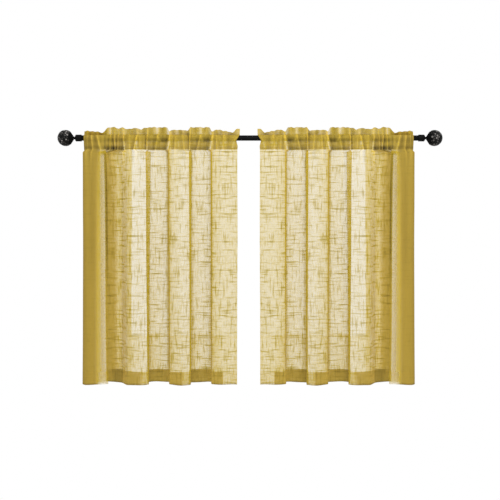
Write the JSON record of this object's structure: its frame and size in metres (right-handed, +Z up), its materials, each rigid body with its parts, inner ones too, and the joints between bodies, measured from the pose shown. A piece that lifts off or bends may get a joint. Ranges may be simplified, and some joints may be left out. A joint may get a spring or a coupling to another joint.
{
  "type": "cafe curtain pair on rod",
  "caption": "Short sheer curtains with gathered rod pockets and ruffled headings, on a straight black rod with ball finials.",
  "frame": {"origin": "middle of the rod, on its own axis", "axes": "+X along the rod to the viewer's right, -Y to the front, +Z up"},
  "size_m": [1.3732, 0.0709, 0.916],
  "materials": {
    "voile": "matte slub voile, half see-through",
    "rod_black": "satin",
    "sleeve_black": "satin",
    "finial_black": "gloss, broken into small chips"
  },
  "bodies": {
    "root": {"curtain_left": "voile", "curtain_right": "voile", "rod": "rod_black", "collar_left": "sleeve_black", "collar_right": "sleeve_black", "finial_left": "finial_black", "finial_right": "finial_black"}
  },
  "joints": []
}
